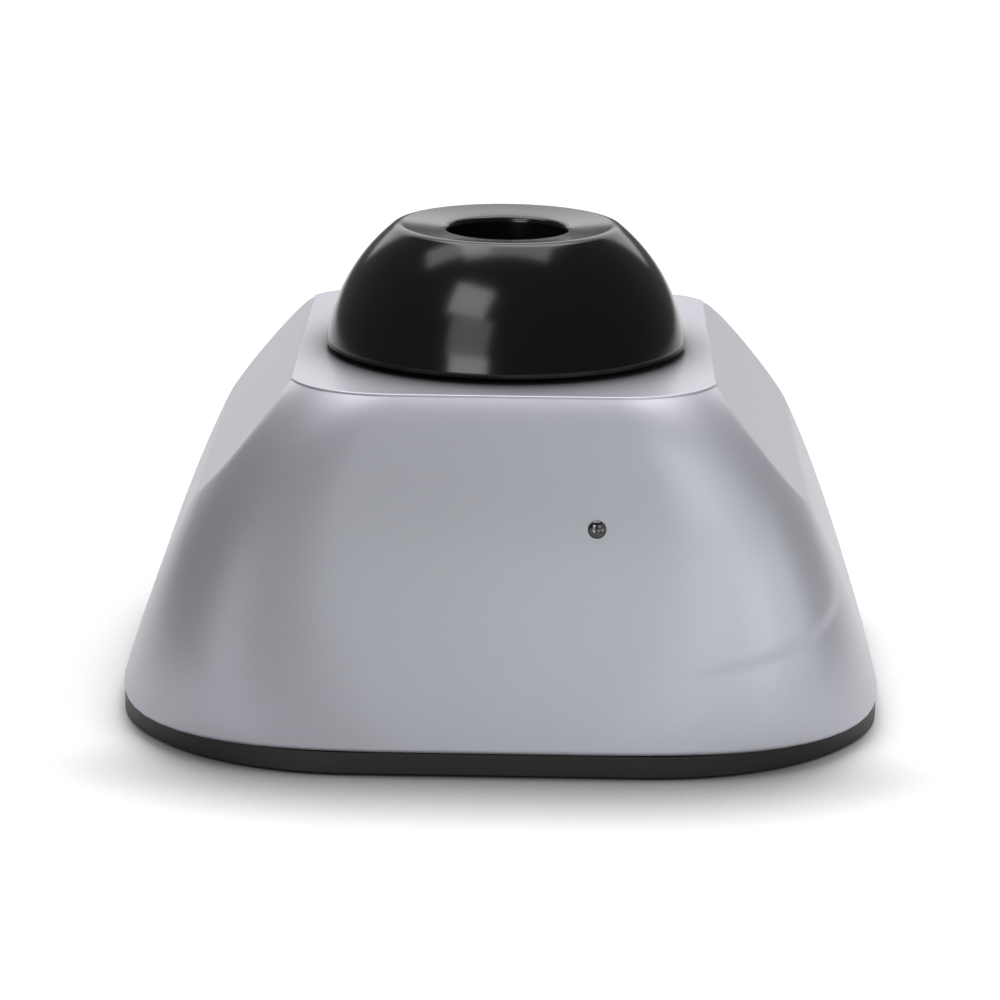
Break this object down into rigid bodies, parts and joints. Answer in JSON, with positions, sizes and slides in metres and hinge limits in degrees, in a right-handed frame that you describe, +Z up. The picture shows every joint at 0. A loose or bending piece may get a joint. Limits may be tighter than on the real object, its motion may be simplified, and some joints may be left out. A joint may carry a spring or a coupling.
{
  "type": "vortex_mixer",
  "caption": "Small touch-operated vortex mixer with a silver rounded pyramid housing, a black base tray and a black rubber cup that orbits when pressed",
  "frame": {"origin": "on the table under the middle of the housing, on the motor shaft's axis", "axes": "+Z up, the front with the indicator looks along -Y, +X to the right as seen from the front"},
  "size_m": [0.1036, 0.1036, 0.0641],
  "materials": {
    "silver_housing": "satin metallic silver paint on moulded plastic",
    "black_plastic": "fine matt moulded black",
    "black_rubber": "matt black rubber",
    "gloss_rubber": "smooth glossy black rubber",
    "zinc_steel": "zinc-plated steel",
    "bright_steel": "ground bright steel",
    "black_steel": "black oxide steel",
    "plain_aluminium": "plain machined aluminium",
    "contact_brass": "bright contact brass",
    "red_plastic": "smooth red plastic",
    "board_green": "green solder resist on glass laminate",
    "capacitor_sleeve": "dark blue shrink sleeve",
    "dark_lens": "dark clear lens",
    "lamp_plastic": "tinted clear plastic"
  },
  "bodies": {
    "base": {"upper_housing": "silver_housing", "base_plate": "black_plastic", "rubber_feet": "black_rubber", "housing_screws": "zinc_steel", "shoulder_screws": "zinc_steel", "rubber_isolators": "black_rubber", "circuit_board": "board_green", "smoothing_capacitor": "capacitor_sleeve", "driver_chip": "black_plastic", "indicator_lens": "dark_lens", "indicator_lamp": "lamp_plastic", "inlet_body": "black_plastic", "inlet_pin": "contact_brass", "switch_body": "black_plastic", "switch_terminals": "contact_brass"},
    "plunger": {"switch_plunger": "red_plastic"},
    "carriage": {"motor_plate": "plain_aluminium", "motor_can": "zinc_steel", "motor_end_cap": "black_plastic", "motor_terminals": "contact_brass", "motor_screws": "zinc_steel"},
    "rotor": {"motor_shaft": "bright_steel", "eccentric_hub": "plain_aluminium", "set_screw": "black_steel", "bearing_inner_race": "bright_steel", "bearing_balls": "bright_steel"},
    "cup": {"bearing_outer_race": "bright_steel", "cup_holder": "black_plastic", "rubber_cup": "gloss_rubber"}
  },
  "joints": [
    {"name": "cup_press", "type": "slide", "parent": "base", "child": "carriage", "axis": [0, 0, -1], "range_m": [0, 0.0004], "stiffness_N_per_m": 15000, "springref_m": -0.0006, "deforming": ["rubber_isolators"]},
    {"name": "shaft_spin", "type": "hinge", "parent": "carriage", "child": "rotor", "pos_m": [0, 0, 0.03], "axis": [0, 0, 1], "continuous": true},
    {"name": "cup_orbit", "type": "hinge", "parent": "rotor", "child": "cup", "pos_m": [0, -0.00225, 0.043], "axis": [0, 0, 1], "continuous": true},
    {"name": "switch_press", "type": "slide", "parent": "base", "child": "plunger", "axis": [0, 0, -1], "range_m": [0, 0.0004]}
  ],
  "couplings": [
    {"joint": "cup_orbit", "follows": "shaft_spin", "ratio": -1},
    {"joint": "switch_press", "follows": "cup_press", "ratio": 1}
  ]
}
